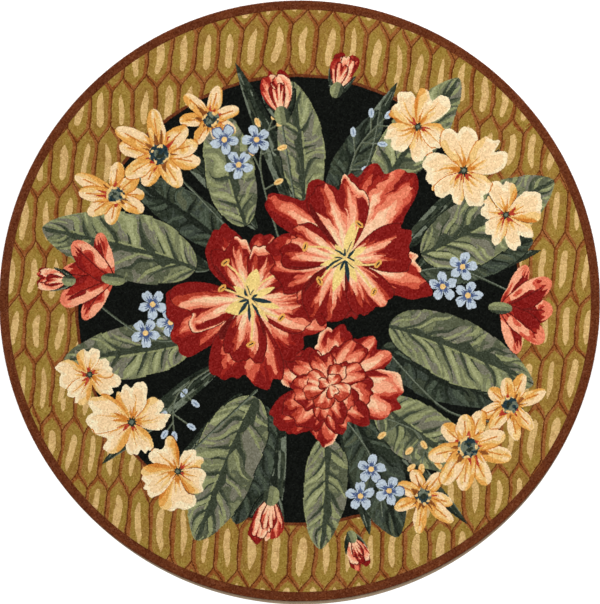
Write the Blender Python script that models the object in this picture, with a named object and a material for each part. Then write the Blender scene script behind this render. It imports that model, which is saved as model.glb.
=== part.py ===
"""A round hooked rug, lying flat.

It is three pieces: the canvas backing with its turned hem, the disc of wool loops hooked
through it, and the rust-brown rows of loops worked round the edge last.

Metres, +Z up. The origin is the centre of the pile's circle, on the underside.
"""

import math

import bmesh
import bpy

# Driving dimensions
PILE_DIAMETER = 1.680
RUG_HEIGHT = 0.0100  # from the floor to the tops of the loops
CANVAS_THICKNESS = 0.0024
RIM_WIDTH = 0.0270
RIM_SHOULDER = 0.0050  # radius of the rounded outer edge of the pile
RIM_UNDERCUT = 0.0010  # how far the last row leans back in over the canvas
MEDALLION_DIAMETER = 1.238
SEAM_CHAMFER = 0.0008  # the loops part a little where the rim rows meet the field

# The canvas is cut a little out of centre, so its hem shows along one side only
HEM_TUCK = 0.0020  # how far the canvas stays inside the pile, all round
HEM_SHOW = 0.0085  # how far it stands out past the pile at the middle of that side
HEM_SHOW_ANGLE = math.radians(-75.0)
HEM_SHOW_SPREAD = 6  # a higher power gathers the showing hem into a shorter stretch
HEM_DEPTH = 0.0400  # how much of the canvas is turned under
HEM_STEP_WIDTH = 0.0012  # the shallow step where the turned edge ends, underneath
HEM_STEP_DEPTH = 0.0006

GAP = 0.0003  # between neighbouring pieces
SEGMENTS = 180
SHOULDER_STEPS = 5

PILE_RADIUS = PILE_DIAMETER / 2
FIELD_RADIUS = PILE_RADIUS - RIM_WIDTH
PILE_FOOT = CANVAS_THICKNESS + GAP


def clear_scene():
    for thing in list(bpy.data.objects):
        bpy.data.objects.remove(thing, do_unlink=True)


def linear(value):
    """One channel of a screen colour, 0 to 255, as the linear value a shader takes."""
    share = value / 255
    return share / 12.92 if share <= 0.04045 else ((share + 0.055) / 1.055) ** 2.4


def yarn(name, screen_colour, roughness):
    """A Principled material of a screen colour. Wool and cotton are rough and not metal."""
    material = bpy.data.materials.new(name)
    material.use_nodes = True
    shader = material.node_tree.nodes["Principled BSDF"]
    colour = [linear(value) for value in screen_colour]
    shader.inputs["Base Color"].default_value = (*colour, 1.0)
    shader.inputs["Roughness"].default_value = roughness
    shader.inputs["Metallic"].default_value = 0.0
    material.diffuse_color = (*colour, 1.0)
    return material


def circle(radius):
    """An outline that is a circle: the same radius whatever the angle."""
    return lambda angle: radius


def canvas_outline(angle):
    """Radius of the canvas: inside the pile all round, and out past it along one side.

    The part that stands out is the cosine hump (1 + cos) / 2 raised to a power.
    """
    hump = ((1 + math.cos(angle - HEM_SHOW_ANGLE)) / 2) ** HEM_SHOW_SPREAD
    return PILE_RADIUS - HEM_TUCK + (HEM_TUCK + HEM_SHOW) * hump


def ring(mesh, outline, inset, height):
    """Points that run round the outline, drawn in by inset, at a height."""
    points = []
    for step in range(SEGMENTS):
        angle = 2 * math.pi * step / SEGMENTS
        radius = outline(angle) - inset
        points.append(
            mesh.verts.new((radius * math.cos(angle), radius * math.sin(angle), height))
        )
    return points


def join_rings(mesh, one, other):
    """A band of four-sided faces from one ring of points to another."""
    for step in range(SEGMENTS):
        after = (step + 1) % SEGMENTS
        mesh.faces.new((one[step], one[after], other[after], other[step]))


def turned_piece(name, outline, profile, hollow, materials):
    """A closed solid whose section is the profile, carried round the outline.

    The profile is a list of (inset, height) pairs. A hollow piece joins its last ring to its
    first. Any other has its first and last rings filled.
    """
    mesh = bmesh.new()
    rings = [ring(mesh, outline, inset, height) for inset, height in profile]
    for one, other in zip(rings, rings[1:]):
        join_rings(mesh, one, other)
    if hollow:
        join_rings(mesh, rings[-1], rings[0])
    else:
        mesh.faces.new(rings[0])
        mesh.faces.new(rings[-1])
    bmesh.ops.recalc_face_normals(mesh, faces=mesh.faces)
    data = bpy.data.meshes.new(name)
    mesh.to_mesh(data)
    mesh.free()
    for material in materials:
        data.materials.append(material)
    data.shade_smooth()
    data.set_sharp_from_angle(angle=math.radians(35))
    piece = bpy.data.objects.new(name, data)
    bpy.context.collection.objects.link(piece)
    return piece


def make_canvas_backing():
    """The canvas with its hem turned under: a rounded lip outside, a shallow step below."""
    lip = CANVAS_THICKNESS / 2
    top = [(4 * lip, CANVAS_THICKNESS)]
    for step in range(SHOULDER_STEPS + 1):
        turn = math.pi * (0.5 - step / SHOULDER_STEPS)
        top.append((lip - lip * math.cos(turn), lip + lip * math.sin(turn)))
    step_end = HEM_DEPTH + HEM_STEP_WIDTH
    below = [
        (HEM_DEPTH, 0.0),
        (HEM_DEPTH, HEM_STEP_DEPTH),
        (step_end, HEM_STEP_DEPTH),
        (step_end, 0.0),
    ]
    cotton = yarn("undyed canvas", (158, 143, 128), 0.9)
    return turned_piece("canvas_backing", canvas_outline, top + below, False, [cotton])


def make_wool_pile():
    """The hooked field, up to the rim rows: olive wool round a black medallion."""
    into_medallion = FIELD_RADIUS - MEDALLION_DIAMETER / 2
    profile = [
        (0.0, PILE_FOOT),
        (0.0, RUG_HEIGHT - SEAM_CHAMFER),
        (SEAM_CHAMFER, RUG_HEIGHT),
        (into_medallion, RUG_HEIGHT),
    ]
    wools = [
        yarn("olive wool", (152, 117, 54), 0.95),
        yarn("black wool", (19, 21, 18), 0.95),
    ]
    piece = turned_piece("wool_pile", circle(FIELD_RADIUS), profile, False, wools)
    for face in piece.data.polygons:
        if len(face.vertices) == SEGMENTS and face.normal.z > 0:
            face.material_index = 1
    return piece


def make_rim_rows():
    """The rust-brown rows round the field, with a rounded outer shoulder."""
    inner = RIM_WIDTH - GAP
    profile = [
        (inner, PILE_FOOT),
        (inner, RUG_HEIGHT - SEAM_CHAMFER),
        (inner - SEAM_CHAMFER, RUG_HEIGHT),
    ]
    for step in range(SHOULDER_STEPS + 1):
        turn = math.pi / 2 * (1 - step / SHOULDER_STEPS)
        inset = RIM_SHOULDER * (1 - math.cos(turn))
        height = RUG_HEIGHT - RIM_SHOULDER * (1 - math.sin(turn))
        profile.append((inset, height))
    profile.append((RIM_UNDERCUT, PILE_FOOT))
    rust = yarn("rust-brown wool", (100, 49, 27), 0.95)
    return turned_piece("rim_rows", circle(PILE_RADIUS), profile, True, [rust])


def main():
    clear_scene()
    make_canvas_backing()
    make_wool_pile()
    make_rim_rows()


main()
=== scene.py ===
# %% [markdown]
# A round hooked rug. On the real one, wool yarn is pulled up through a canvas in thousands of
# small loops, and the picture is made by changing yarn. This lesson works in the same order.
# First a place is found for every loop. Then a chart gives each one its yarns: the border, the
# medallion, and a bouquet over both. Then the loops are made, and last the rows round the edge,
# the canvas under them, and the finishes.
#
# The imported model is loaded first, as a fixed frame. Its plain disc, ring and canvas give the
# sizes, and what is made here takes their places.

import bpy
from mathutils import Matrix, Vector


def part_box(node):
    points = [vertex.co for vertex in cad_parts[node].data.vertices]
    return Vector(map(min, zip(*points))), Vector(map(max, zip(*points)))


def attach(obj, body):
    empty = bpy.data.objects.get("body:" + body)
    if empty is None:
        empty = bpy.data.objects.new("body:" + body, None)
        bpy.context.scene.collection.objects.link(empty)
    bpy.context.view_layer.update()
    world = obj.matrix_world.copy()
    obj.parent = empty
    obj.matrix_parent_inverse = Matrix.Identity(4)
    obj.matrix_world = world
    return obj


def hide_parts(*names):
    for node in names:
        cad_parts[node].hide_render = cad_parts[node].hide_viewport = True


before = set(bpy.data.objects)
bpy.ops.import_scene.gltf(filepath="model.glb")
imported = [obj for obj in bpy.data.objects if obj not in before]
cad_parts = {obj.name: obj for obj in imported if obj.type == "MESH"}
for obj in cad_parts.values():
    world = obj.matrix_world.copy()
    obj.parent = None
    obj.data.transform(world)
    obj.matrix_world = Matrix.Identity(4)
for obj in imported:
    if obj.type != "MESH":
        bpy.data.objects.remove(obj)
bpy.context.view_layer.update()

# %% The other modules, and the sizes taken from the frame
import math

import bpy
import mathutils
import numpy as np

FIELD_RADIUS, _, PILE_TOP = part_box("wool_pile")[1]
PILE_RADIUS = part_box("rim_rows")[1].x
CANVAS_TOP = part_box("canvas_backing")[1].z
FULL_TURN = 2 * math.pi
MM = 1000  # millimetres in a metre: the chart is reckoned in millimetres
print(f"field radius {FIELD_RADIUS:.4f} m, pile radius {PILE_RADIUS:.4f} m")
print(f"the pile's top is at {PILE_TOP:.4f} m")

# %% [markdown]
# Chance. Nothing made by hand is even, so three kinds of chance are used throughout. Clouds drift
# slowly over the cloth, and bend its lines or shade its wool. Luck gives a petal or a leaf its own
# fixed share. A seeded generator shakes single loops. All three come out the same on every run.
# Where one step needs several clouds or lucks, it reads them at places or salts far apart.

# %% Three kinds of chance
CLOUD_START = (1000.3, 1000.7)  # so that the rug's middle isn't on a corner of the table
LUCK_STEP, LUCK_SALT, LUCK_SCALE = 12.9898, 37.719, 43758.5453
chance = np.random.default_rng(11)


class Clouds:
    """Smooth noise, about -1 to 1.

    A table holds random numbers. Between four of them a place gets their mean, weighted by the
    smooth step 3 f^2 - 2 f^3 of its share f of the way along each axis.
    """

    def __init__(self, seed, side=64, gain=1.5):
        self.side = side
        self.table = gain * np.random.default_rng(seed).uniform(-1, 1, (side, side))

    def __call__(self, x, y, size):
        u, v = np.asarray(x) / size + CLOUD_START[0], np.asarray(y) / size + CLOUD_START[1]
        column, row = np.floor(u).astype(int), np.floor(v).astype(int)
        across, up = ((f * f * (3 - 2 * f)) for f in (u - column, v - row))

        def corner(right, over):
            """The number in the table this many columns and rows on."""
            return self.table[(column + right) % self.side, (row + over) % self.side]

        low = corner(0, 0) * (1 - across) + corner(1, 0) * across
        high = corner(0, 1) * (1 - across) + corner(1, 1) * across
        return low * (1 - up) + high * up


clouds = Clouds(seed=7)


def luck(number, salt=0.0):
    """A fixed random share for each number: what is left of a large multiple of a sine."""
    value = np.sin(number * LUCK_STEP + salt * LUCK_SALT) * LUCK_SCALE
    return value - np.floor(value)


print("the luck of 1, 2 and 3:", *(f"{luck(number):.2f}" for number in (1, 2, 3)))

# %% [markdown]
# Where the loops stand. A grid of four-sided cells, one for each loop, covers the field. An even
# grid would be simpler, but nobody hooks in straight lines, so its lines wander and its points are
# shaken. A point outside the field's circle is drawn in to it, and a cell that loses nearly all
# its area is left out.

# %% The grid of loops
LOOP_PITCH = 0.0033
LOOP_RISE = 0.0017  # from the low line between two loops to a loop's top
LOOP_UNEVEN = 0.0005
GRID_SHAKE = 0.20  # as a share of the pitch
GRID_WANDER = 0.006
WANDER_SIZE = 0.26
SEAM_DROP = 0.0006  # how far the loops part where the rim rows meet the field
SMALLEST_CELL = 0.02  # as a share of the pitch squared


def hooking_grid():
    """Corner points of the cells: an even grid, plus slow waves, plus a share of a pitch at random.

    A point outside the field keeps its direction and takes the field's radius.
    """
    half = int(FIELD_RADIUS / LOOP_PITCH) + 4
    line = np.arange(-half, half + 1) * LOOP_PITCH
    x, y = np.meshgrid(line, line, indexing="ij")
    wave_x = GRID_WANDER * clouds(x + 5.0, y, WANDER_SIZE)
    wave_y = GRID_WANDER * clouds(x, y + 9.0, WANDER_SIZE)
    shake = GRID_SHAKE * LOOP_PITCH * chance.uniform(-1, 1, (2, *x.shape))
    x, y = x + wave_x + shake[0], y + wave_y + shake[1]
    radius = np.hypot(x, y)
    outside = radius > FIELD_RADIUS
    pull = np.where(outside, FIELD_RADIUS / radius, 1.0)
    low = PILE_TOP - LOOP_RISE - LOOP_UNEVEN * chance.uniform(0, 1, x.shape)
    return np.stack([x * pull, y * pull, low - SEAM_DROP * outside], -1), outside


def grid_cells(rows, columns, closed=False):
    """The four corner numbers of every cell of a grid, and round the end of each row if closed."""
    number = np.arange(rows * columns).reshape(rows, columns)
    after = np.roll(number, -1, axis=1)
    last = columns if closed else columns - 1
    corners = (number[:-1], number[1:], after[1:], after[:-1])
    return np.stack([corner[:, :last].ravel() for corner in corners], 1)


def cells_on_field(points, cells, outside):
    """The cells with a corner on the field and some area, which is half a sum of cross products."""
    cells = cells[~outside.ravel()[cells].all(1)]
    here = points[cells][:, :, :2]
    after = np.roll(here, -1, axis=1)
    area = 0.5 * (here[:, :, 0] * after[:, :, 1] - here[:, :, 1] * after[:, :, 0]).sum(1)
    return cells[area > SMALLEST_CELL * LOOP_PITCH ** 2]


grid, outside = hooking_grid()
points = grid.reshape(-1, 3)
cells = cells_on_field(points, grid_cells(*outside.shape), outside)
middles = points[cells].mean(1)
middles[:, 2] = PILE_TOP - LOOP_UNEVEN * chance.uniform(0, 1, len(cells))
print(f"{len(cells)} loops in the field")

# %% [markdown]
# The yarns. A hooked rug of this kind takes forty dyed wools or more. Each has a name here and a
# colour as a screen shows it, 0 to 255, because that is easy to judge by eye. It becomes the
# linear value that a shader takes only when it is put on a loop.

# %% The yarns
YARNS = {
    "black": (10, 13, 9),
    "ink": (28, 32, 36),
    "tealdark": (36, 56, 62),
    "maroon": (106, 21, 17),
    "crimson": (134, 24, 20),
    "red": (160, 38, 28),
    "brick": (180, 62, 42),
    "coral": (208, 90, 66),
    "salmon": (230, 130, 98),
    "peach": (242, 170, 134),
    "blush": (245, 198, 160),
    "cream": (243, 212, 166),
    "ivory": (246, 226, 187),
    "butter": (238, 210, 132),
    "straw": (236, 198, 130),
    "gold": (226, 166, 82),
    "amber": (208, 130, 50),
    "rust": (142, 81, 35),
    "rustlight": (154, 95, 48),
    "umber": (118, 60, 24),
    "line": (98, 48, 18),
    "olive": (160, 127, 56),
    "olivegreen": (156, 127, 54),
    "oliveold": (152, 117, 52),
    "flame": (214, 179, 118),
    "flameshade": (203, 166, 108),
    "rim": (108, 53, 25),
    "rimdark": (100, 48, 23),
    "rimlight": (117, 61, 31),
    "sage": (146, 150, 106),
    "sagelight": (166, 169, 124),
    "sagegrey": (122, 120, 102),
    "moss": (122, 126, 92),
    "fern": (90, 95, 72),
    "fernblue": (76, 86, 70),
    "spruce": (60, 67, 51),
    "slate": (60, 68, 58),
    "pine": (45, 53, 41),
    "pinedark": (31, 37, 28),
    "smoke": (112, 120, 102),
    "bluelight": (188, 200, 210),
    "blue": (128, 146, 172),
    "bluedark": (78, 94, 132),
}
YARN = {name: number for number, name in enumerate(YARNS)}
DYES = np.array(list(YARNS.values()), float)
print(f"{len(YARNS)} yarns")


def linear(colour):
    """Screen colours, 0 to 255, as linear ones: the standard curve, straight near black."""
    share = np.clip(colour, 0, 255) / 255
    return np.where(share <= 0.04045, share / 12.92, ((share + 0.055) / 1.055) ** 2.4)


# %% [markdown]
# The chart. A picture laid over the rug would be simpler, but it blurs near to, and the wool
# couldn't be sorted by colour. So the yarns are put on the mesh. Real loops are finer than these,
# and each of a loop's four sides here has a yarn of its own, so that lines come out smooth. The
# chart keeps, for every side, its place, the number of its yarn, and the part of the picture that
# it belongs to. Each part becomes one piece of the model.

# %% The chart
GROUND, LATTICE, FLAME, MEDALLION, LEAF, RED_BLOSSOM, PALE_BLOSSOM = range(7)


class Chart:
    """The yarn and the part of each side of a loop, by number. Places are in millimetres.

    A side is a triangle, of two corners and the middle. Its place is their mean.
    """

    def __init__(self, corners, middles):
        places = (corners + np.roll(corners, -1, axis=1) + middles[:, None]) / 3
        self.x, self.y = places.reshape(-1, 3).T[:2] * MM
        self.yarn = np.full(len(self.x), YARN["black"])
        self.part = np.full(len(self.x), GROUND)
        self.speck = np.repeat(chance.uniform(-1, 1, len(middles)), 4)

    def turned(self, x, y, angle, reach):
        """The sides near a place, and how far along and across a direction each lies from it."""
        near = np.flatnonzero((abs(self.x - x) < reach) & (abs(self.y - y) < reach))
        right, up = self.x[near] - x, self.y[near] - y
        along = right * math.cos(angle) + up * math.sin(angle)
        across = up * math.cos(angle) - right * math.sin(angle)
        return near, along, across

    def lay(self, sides, yarn, part=None):
        """Give these sides a yarn, and a part if one is named."""
        self.yarn[sides] = YARN[yarn]
        if part is not None:
            self.part[sides] = part

    def share(self, part):
        """How much of the field a part takes, in words."""
        return f"{(self.part == part).mean():.1%}"


chart = Chart(points[cells], middles)
print(f"{len(chart.yarn)} sides in the chart")

# %% [markdown]
# The border is a lattice of long hexagons, with a cream flame in each. Its rows bow and fan out,
# because the cloth was pulled as it was worked. A formula for straight rows would miss that, so
# some hexagons are listed: where the middle of each is in the photograph, and which column and row
# it is. A thin plate bent through these knots gives column and row anywhere else.

# %% Knots of the border
PHOTO_WIDTH, PHOTO_HEIGHT = 600, 604
PILE_CENTRE = (299.6, 300.85)  # pixels, right and down
PILE_SPAN = 602  # pixels: the photograph cuts a hair off either side
PIXEL = 2 * PILE_RADIUS / PILE_SPAN
KNOTS = [  # pixels right and down in the photograph, then column and row
    (136, 60, -7, 0), (160, 56, -6, 0), (208, 51, -4, 0), (253, 47, -2, 0), (305, 44, 0, 0),
    (355, 50, 2, 0), (398, 66, 4, 0), (440, 78, 6, 0), (463, 83, 7, 0), (505, 100, 9, 0),
    (80, 110, -9.5, 1), (101, 108, -8.5, 1), (145, 108, -6.5, 1), (168, 105, -5.5, 1),
    (467, 144, 7.5, 1), (489, 146, 8.5, 1), (511, 150, 9.5, 1), (532, 152, 10.5, 1),
    (63, 161, -10, 2), (108, 161, -8, 2), (511, 207, 10, 2), (534, 209, 11, 2), (577, 212, 13, 2),
    (25, 221, -11.5, 3), (586, 272, 13.5, 3), (12, 276, -12, 4), (33, 276, -11, 4),
    (54, 278, -10, 4), (546, 326, 12, 4), (587, 326, 14, 4), (14, 330, -11.5, 5),
    (59, 332, -9.5, 5), (526, 384, 11.5, 5), (574, 378, 13.5, 5), (24, 383, -11, 6),
    (63, 392, -9, 6), (86, 396, -8, 6), (509, 443, 11, 6), (554, 440, 13, 6),
    (50, 447, -9.5, 7), (90, 456, -7.5, 7), (132, 455, -5.5, 7), (405, 503, 6.5, 7),
    (450, 497, 8.5, 7), (497, 497, 10.5, 7), (94, 508, -7, 8), (138, 525, -5, 8),
    (182, 536, -3, 8), (226, 549, -1, 8), (275, 555, 1, 8), (326, 556, 3, 8),
    (391, 549, 6, 8), (440, 549, 8, 8), (462, 552, 9, 8),
]
PLATE_EASE = 2e-4  # lets the plate miss a knot by a little, so that small slips don't dent it


def from_photo(right, down):
    """Millimetres on the rug for pixels of the photograph."""
    return (right - PILE_CENTRE[0]) * PIXEL * MM, (PILE_CENTRE[1] - down) * PIXEL * MM


class BentPlate:
    """Column and row at any place: a flat tilt plus, for each knot, a weight times r^2 log r."""

    def __init__(self, knots):
        knots = np.array(knots, float)
        self.at = np.stack(from_photo(knots[:, 0], knots[:, 1]), 1) / (PILE_RADIUS * MM)
        count = len(knots)
        apart = np.linalg.norm(self.at[:, None] - self.at, axis=2)
        bends = self.swell(apart) + PLATE_EASE * np.eye(count)
        tilt = np.column_stack([np.ones(count), self.at])
        system = np.block([[bends, tilt], [tilt.T, np.zeros((3, 3))]])
        self.weights = np.linalg.solve(system, np.concatenate([knots[:, 2:], np.zeros((3, 2))]))

    @staticmethod
    def swell(distance):
        """How a plate rises round one knot: r^2 log r, and nothing at the knot itself."""
        return distance ** 2 * np.log(np.maximum(distance, 1e-9))

    def __call__(self, x, y):
        places = np.stack([x, y], 1) / (PILE_RADIUS * MM)
        found = np.column_stack([np.ones(len(x)), places]) @ self.weights[len(self.at):]
        for knot, weight in zip(self.at, self.weights):
            found += self.swell(np.linalg.norm(places - knot, axis=1))[:, None] * weight
        return found.T


column_and_row = BentPlate(KNOTS)
print(f"{len(KNOTS)} knots hold the border")

# %% [markdown]
# A place is in the hexagon whose middle is nearest, where nearness counts across and, past the
# straight sides, up as well. The hexagons of every second row stand half a column over. The places
# are first moved a little by clouds, so that the lines stray as a hand does.

# %% The hexagons
COLUMN = 64.4  # millimetres from one hexagon to the next
STRAIGHT_SIDE = 100.8
POINT = 50.4  # the height that two neighbouring rows share
ROW = STRAIGHT_SIDE + POINT
POINT_BOW = 0.45  # how far the slanting sides are bowed like an S
STRAY_SIDEWAYS, STRAY_UP = (2.4, 60), (3.0, 80)  # how far lines stray, and over what length
STRAY_FINE = 22  # the length of a finer straying, a millimetre wide
RAGGED = (0.4, 9)  # the same, for the depth
HEXAGON_LUCK = (91.7, 7.3)  # turns a column and a row into the hexagon's own number


def hexagons(x, y):
    """For each place: how far right of and above its hexagon's middle, its number, row and depth.

    The depth is the distance in from the lattice, in millimetres.
    """
    sideways = STRAY_SIDEWAYS[0] * clouds(x + 900, y, STRAY_SIDEWAYS[1])
    upwards = STRAY_UP[0] * clouds(x, y + 300, STRAY_UP[1])
    column, row = column_and_row(x + (sideways + clouds(x, y + 70, STRAY_FINE)), y + upwards)
    nearest = np.full(len(x), np.inf)
    right, up, number, in_row = np.zeros((4, len(x)))
    for near_row in (np.floor(row), np.floor(row) + 1):
        shift = 0.5 * (near_row % 2)
        near_column = np.round(column - shift)
        across, above = column - shift - near_column, row - near_row
        past = (abs(above) * ROW - STRAIGHT_SIDE / 2) / POINT
        bowed = (1 - POINT_BOW) * past + POINT_BOW * past ** 2 * (3 - 2 * past)
        past = np.where((past > 0) & (past < 1), bowed, past)
        away = 2 * abs(across) + np.maximum(past, 0)
        closer = away < nearest
        nearest[closer] = away[closer]
        right[closer] = across[closer] * COLUMN
        up[closer] = -above[closer] * ROW
        number[closer] = (near_column * HEXAGON_LUCK[0] + near_row * HEXAGON_LUCK[1])[closer]
        in_row[closer] = near_row[closer]
    depth = (1 - nearest) * COLUMN / 2 + RAGGED[0] * clouds(x, y, RAGGED[1])
    return right, up, number, in_row, depth


# %% [markdown]
# Each hexagon is shaded along one inner edge and into one point. Past a slanting line over the
# rug the shading changes sides, as it does on the real one. The flames could be drawn one by one,
# but there are about a hundred, so each leans and bulges by luck. Where only the end of a hexagon
# shows at the rim, its flame is drawn in, so that it shows too.

# %% Sizes of the flames and the shading
SHADE_LINE = (0.587, 114.0)  # slope and height of the line where the shading changes sides
FLAME_HALF_WIDTH = 9.4
FLAME_HALF_LENGTH = 0.322 * ROW
FLAME_LONGER = 0.035 * ROW  # by luck
FLAME_OFF = 1.5  # millimetres that all flames stand to one side
FLAME_STRAY, FLAME_SHIFT = 4, 8  # the spans over which luck sets them, across, and up or down
FLAME_LEAN = 0.09  # the span of their lean, sideways for each millimetre up
TIP_OFF = 9  # the span over which luck moves their tips sideways
FLAME_SWAY = 2.5  # how far they sway in an S
LEAST_WIDTH, WIDER = 0.78, 0.44  # shares of the half width: the least, and more by luck
LEAST_POWER, MORE_POWER, TIP_ROUND = 2.0, 2.4, 0.9  # the higher the power, the fuller the tip
FOOT_POWER, FOOT_ROUND, FOOT_TAPER = 6, 0.5, 0.10
FLAME_EDGE = (0.45, 22)  # how far its edge strays, and over what length
FLAME_FLIPPED = 0.05  # the share of flames that point the other way
FIRST_ROW, LAST_ROW = 0, 8  # the rows whose middles lie on the rug
FLAME_DRAWN_IN = 12.0  # how far the flames of the rows past them stand in from their middles
SHADE_BROAD, SHADE_NARROW, SHADE_POINT = 10.2, 2.4, 14.0  # on either side, and at the point
SHADE_WAVE = (1.2, 34)  # how far the shading's edge strays, and over what length
SHADE_FRAY = 3.4  # how far single loops of it stray towards the middle
LINE_HALF_WIDTH = 1.7
GROUND_DRIFT, GROUND_PATCH = 30, 11  # the sizes of the clouds that are mixed for the olive dyes
PATCH_SHARE, SPECK_SHARE = 0.35, 0.42
GREEN_OVER, OLD_UNDER = 0.22, -0.62  # where the mix changes the dye
DARKER_FLAME_UNDER = -0.55
print(f"flames about {2 * FLAME_HALF_WIDTH:.0f} mm wide and {2 * FLAME_HALF_LENGTH:.0f} mm long")

# %% Paint the border
def border_ground(chart):
    """Olive wool in three dyes, mixed by slow drifts and by single loops."""
    x, y = chart.x, chart.y
    mix = clouds(x, y, GROUND_DRIFT) + PATCH_SHARE * clouds(x, y + 50, GROUND_PATCH)
    mix = mix + SPECK_SHARE * chart.speck
    chart.lay(slice(None), "olive")
    chart.lay(mix > GREEN_OVER, "olivegreen")
    chart.lay(mix < OLD_UNDER, "oliveold")


def border_flames(chart, right, up, number, row, first_half):
    """A flame in each hexagon.

    Its width goes with (1 - f^power)^0.9 towards its tip, where luck gives the power, 2 to 4.4,
    and with (1 - f^6)^0.5 towards its blunt foot.
    """
    x, y = chart.x, chart.y
    way = np.where(luck(number, 9) > FLAME_FLIPPED, 1, -1) * np.where(first_half, 1, -1)
    length = FLAME_HALF_LENGTH + FLAME_LONGER * luck(number, 2)
    drawn_in = FLAME_DRAWN_IN * ((row < FIRST_ROW) * 1.0 - (row > LAST_ROW))
    rise = (up + drawn_in - FLAME_SHIFT * (luck(number, 4) - 0.5)) / length * way
    tip, foot = np.clip(rise, 0, 1), np.clip(-rise, 0, 1)
    pointed = (1 - tip ** (LEAST_POWER + MORE_POWER * luck(number, 12))) ** TIP_ROUND
    blunt = (1 - foot ** FOOT_POWER) ** FOOT_ROUND
    width = FLAME_HALF_WIDTH * pointed * blunt * (1 - FOOT_TAPER * foot)
    edge = FLAME_EDGE[0] * clouds(x * 2, y, FLAME_EDGE[1])
    width = width * (LEAST_WIDTH + WIDER * luck(number, 6)) + edge
    sway = FLAME_SWAY * np.sin(rise * 2.4 + 6 * luck(number, 7))
    sway = sway - FLAME_LEAN * (luck(number, 5) - 0.5) * up
    off = right + np.where(first_half, FLAME_OFF, -FLAME_OFF)
    off = off - FLAME_STRAY * (luck(number, 1) - 0.5) + sway
    off = off + TIP_OFF * (luck(number, 14) - 0.5) * tip ** 2
    flame = (abs(rise) < 1) & (abs(off) < width)
    chart.lay(flame, "flame", FLAME)
    chart.lay(flame & (clouds(x, y, 14) + 0.7 * chart.speck < DARKER_FLAME_UNDER), "flameshade")


def border_shading(chart, right, up, depth, first_half):
    """Rust along the lattice: broad on one side and at one point, and frayed towards the middle."""
    x, y = chart.x, chart.y
    side = np.where(first_half, 1, -1)
    broad = np.where(right * side > 0, SHADE_BROAD, SHADE_NARROW)
    towards_point = np.clip((-up * side - STRAIGHT_SIDE / 2) / POINT, 0, 1)
    wave = SHADE_WAVE[0] * clouds(x, y, SHADE_WAVE[1])
    broad = broad + (SHADE_POINT - broad) * towards_point + wave
    frayed = broad + SHADE_FRAY * (0.5 + 0.7 * chart.speck).clip(0, 1)
    chart.lay((depth < frayed) & (depth >= broad), "oliveold")
    chart.lay(depth < broad, "rustlight", LATTICE)
    chart.lay((depth < broad) & (clouds(x, y, 20) + 0.6 * chart.speck > 0), "rust")
    chart.lay(depth < LINE_HALF_WIDTH, "line", LATTICE)


def paint_border(chart):
    """The ground, the flames and the shading, in the order that they cover each other."""
    right, up, number, row, depth = hexagons(chart.x, chart.y)
    first_half = chart.y > SHADE_LINE[0] * chart.x + SHADE_LINE[1]
    border_ground(chart)
    border_flames(chart, right, up, number, row, first_half)
    border_shading(chart, right, up, depth, first_half)


paint_border(chart)
print(f"the lattice takes {chart.share(LATTICE)} of the field, before the medallion")

# %% [markdown]
# The medallion is a disc of black wool inside a thin dark ring. It is laid over the border, so the
# hexagons run up to its edge and are cut there. A true circle would be simpler, but the real one
# was drawn by hand: it is a little taller than it is wide, and has three slow lobes. Its lines
# waver too, as a drawn line does when it is followed loop by loop.

# %% Paint the medallion
MEDALLION_CENTRE = from_photo(298.4, 300.8)
MEDALLION_RADIUS = 0.6195 * MM
MEDALLION_LOBES = [(2, 2.6, 180), (3, 3.2, -60)]  # count, height, and turn in degrees
MEDALLION_WAVER = (0.8, 30)
RING_WIDTH = 8.4


def paint_medallion(chart):
    """A black disc inside a dark ring.

    Their radius is even, plus height * cos(count * angle - turn) for each kind of lobe.
    """
    right, up = chart.x - MEDALLION_CENTRE[0], chart.y - MEDALLION_CENTRE[1]
    radius, angle = np.hypot(right, up), np.arctan2(up, right)
    for count, height, turn in MEDALLION_LOBES:
        radius = radius - height * np.cos(count * angle - math.radians(turn))
    radius = radius + MEDALLION_WAVER[0] * clouds(chart.x, chart.y, MEDALLION_WAVER[1])
    chart.lay(radius < MEDALLION_RADIUS + RING_WIDTH, "rim", LATTICE)
    chart.lay(radius < MEDALLION_RADIUS, "black", MEDALLION)


paint_medallion(chart)
print(f"the border's flames take {chart.share(FLAME)} of the field")

# %% [markdown]
# The bouquet. Its petals and leaves are all made from two shapes. One spreads from its base like a
# fan, for broad petals. The other follows a bent line, for leaves and narrow petals. Each gives its
# loops a pair of coordinates, along and across, and the shading is worked out from those, as a
# maker follows the growth of a petal with the wool. Drawn outlines could give any petal, but these
# two shapes make hundreds, no two alike. The plain numbers in their formulas are shares of a length
# or a width, or millimetres where a line is meant.

# %% Waves and teeth
def ripple(s, seed, speed=2.2):
    """A slow wave along one line, about -1 to 1."""
    return clouds(s * speed + seed * 7.7, seed * 1.3, 1.0)


def spans(s, count, seed):
    """A line cut into spans of uneven length: the number of each place's span, and its share."""
    place = s * count + 0.35 * clouds(s * count, seed * 3.7, 1.6) + seed * 5.31
    number = np.floor(place)
    return number, place - number


def teeth(s, count, seed):
    """Pointed waves side by side, 0 to 1: one in the middle of each span, times its luck."""
    number, share = spans(s, count, seed)
    return (1 - abs(2 * share - 1)) * (0.25 + 0.75 * luck(number, seed))


# %% A fan
class Shape:
    """The sides of loops under a motif, with the measures that its shading is worked out from."""

    def keep(self, inside, sides, **measures):
        """Keep the sides that lie inside, their places, and each measure under its own name."""
        self.sides = sides[inside]
        self.x, self.y = chart.x[self.sides], chart.y[self.sides]
        for name, values in measures.items():
            setattr(self, name, values[inside])

    def lay(self, where, yarn, part=None):
        """Give a yarn to those of the shape's sides where this is true."""
        chart.lay(self.sides[where], yarn, part)


NOTCH_WIDTH = 0.13  # as a share of half the petal
FAN_SPARE = 1.3  # how much farther than its length a petal is looked for, because its edge is waved


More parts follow.
